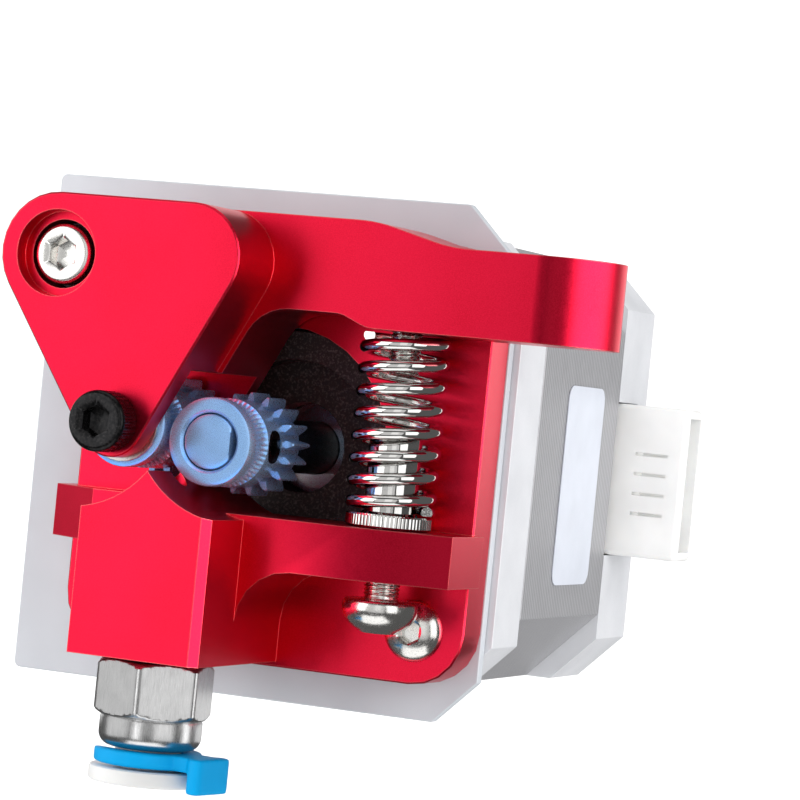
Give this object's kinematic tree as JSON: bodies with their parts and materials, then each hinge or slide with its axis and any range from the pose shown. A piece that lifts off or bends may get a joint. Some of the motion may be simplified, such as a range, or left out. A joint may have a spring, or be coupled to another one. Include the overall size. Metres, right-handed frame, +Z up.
{
  "type": "extruder gear assembly",
  "caption": "Sprung lever extruder: two meshing toothed gears pinch filament above a push fitting, on a small square stepper motor.",
  "frame": {"origin": "middle of the motor's rear face, on the motor shaft's axis", "axes": "+Y along the shaft from the gears back into the motor, +Z up towards the filament entry, +X from the lever's pivot towards its handle"},
  "size_m": [0.0608, 0.0667, 0.0553],
  "materials": {
    "red_anodised": "bead-blasted, red anodised",
    "cast_aluminium": "die cast, satin",
    "coated_sheet": "smooth pale grey coating",
    "laminated_steel": "stacked laminations",
    "stainless": "machined",
    "bright_nickel": "polished",
    "black_oxide": "black oxide",
    "dark_steel": "dark",
    "copper": "enamelled copper wire",
    "magnet": "sintered",
    "white_nylon": "moulded",
    "blue_plastic": "moulded",
    "black_rubber": "moulded",
    "white_label": "blank film"
  },
  "bodies": {
    "frame": {"base_block": "red_anodised", "mounting_sheet": "coated_sheet", "motor_front_cap": "cast_aluminium", "motor_rear_cap": "cast_aluminium", "stator_stack": "laminated_steel", "front_winding": "copper", "rear_winding": "copper", "motor_connector": "white_nylon", "motor_label": "white_label", "front_bearing": "stainless", "rear_bearing": "stainless", "wave_washer": "dark_steel", "motor_bolt_upper_left": "stainless", "motor_bolt_lower_left": "stainless", "motor_bolt_lower_right": "stainless", "motor_bolt_upper_right": "stainless", "base_screw_lower_right": "bright_nickel", "base_screw_lower_left": "bright_nickel", "base_screw_upper_right": "stainless", "pivot_screw": "bright_nickel", "pivot_sleeve": "dark_steel", "fitting_body": "bright_nickel", "o_ring": "black_rubber", "grip_ring": "stainless"},
    "rotor": {"motor_shaft": "stainless", "rotor_core_front": "laminated_steel", "rotor_magnet": "magnet", "rotor_core_rear": "laminated_steel", "drive_gear": "stainless", "grub_screw": "black_oxide"},
    "lever": {"lever_arm": "red_anodised", "spring_stud": "bright_nickel", "idler_axle": "black_oxide", "washer_front": "stainless", "washer_rear": "stainless"},
    "idler": {"idler_gear": "stainless", "needle_bearing_front": "stainless", "needle_bearing_rear": "stainless"},
    "seat": {"spring_seat": "bright_nickel", "spring": "bright_nickel"},
    "adjuster": {"tension_screw": "bright_nickel"},
    "clip": {"collet_clip": "blue_plastic"},
    "collet": {"collet": "white_nylon"}
  },
  "joints": [
    {"name": "shaft_spin", "type": "hinge", "parent": "frame", "child": "rotor", "pos_m": [0, -0.0514, 0], "axis": [0, 1, 0], "continuous": true},
    {"name": "lever_swing", "type": "hinge", "parent": "frame", "child": "lever", "pos_m": [-0.0155, -0.0534, 0.0155], "axis": [0, 1, 0], "range_deg": [0, 7], "deforming": ["spring"]},
    {"name": "idler_spin", "type": "hinge", "parent": "lever", "child": "idler", "pos_m": [-0.00845, -0.0547, 0.0009], "axis": [0, 1, 0], "continuous": true},
    {"name": "seat_travel", "type": "slide", "parent": "frame", "child": "seat", "axis": [0, 0, 1], "range_m": [0, 0.0012], "deforming": ["spring"]},
    {"name": "tension_turn", "type": "hinge", "parent": "seat", "child": "adjuster", "pos_m": [0.014, -0.051, -0.0086], "axis": [0, 0, 1], "range_deg": [0, 618]},
    {"name": "clip_pull", "type": "slide", "parent": "frame", "child": "clip", "axis": [0.9816, -0.1908, 0], "range_m": [0, 0.012]},
    {"name": "collet_press", "type": "slide", "parent": "frame", "child": "collet", "axis": [0, 0, 1], "range_m": [0, 0.0002]}
  ],
  "couplings": [
    {"joint": "idler_spin", "follows": "shaft_spin", "ratio": -1},
    {"joint": "tension_turn", "follows": "seat_travel", "rad_per_m": 8976}
  ]
}
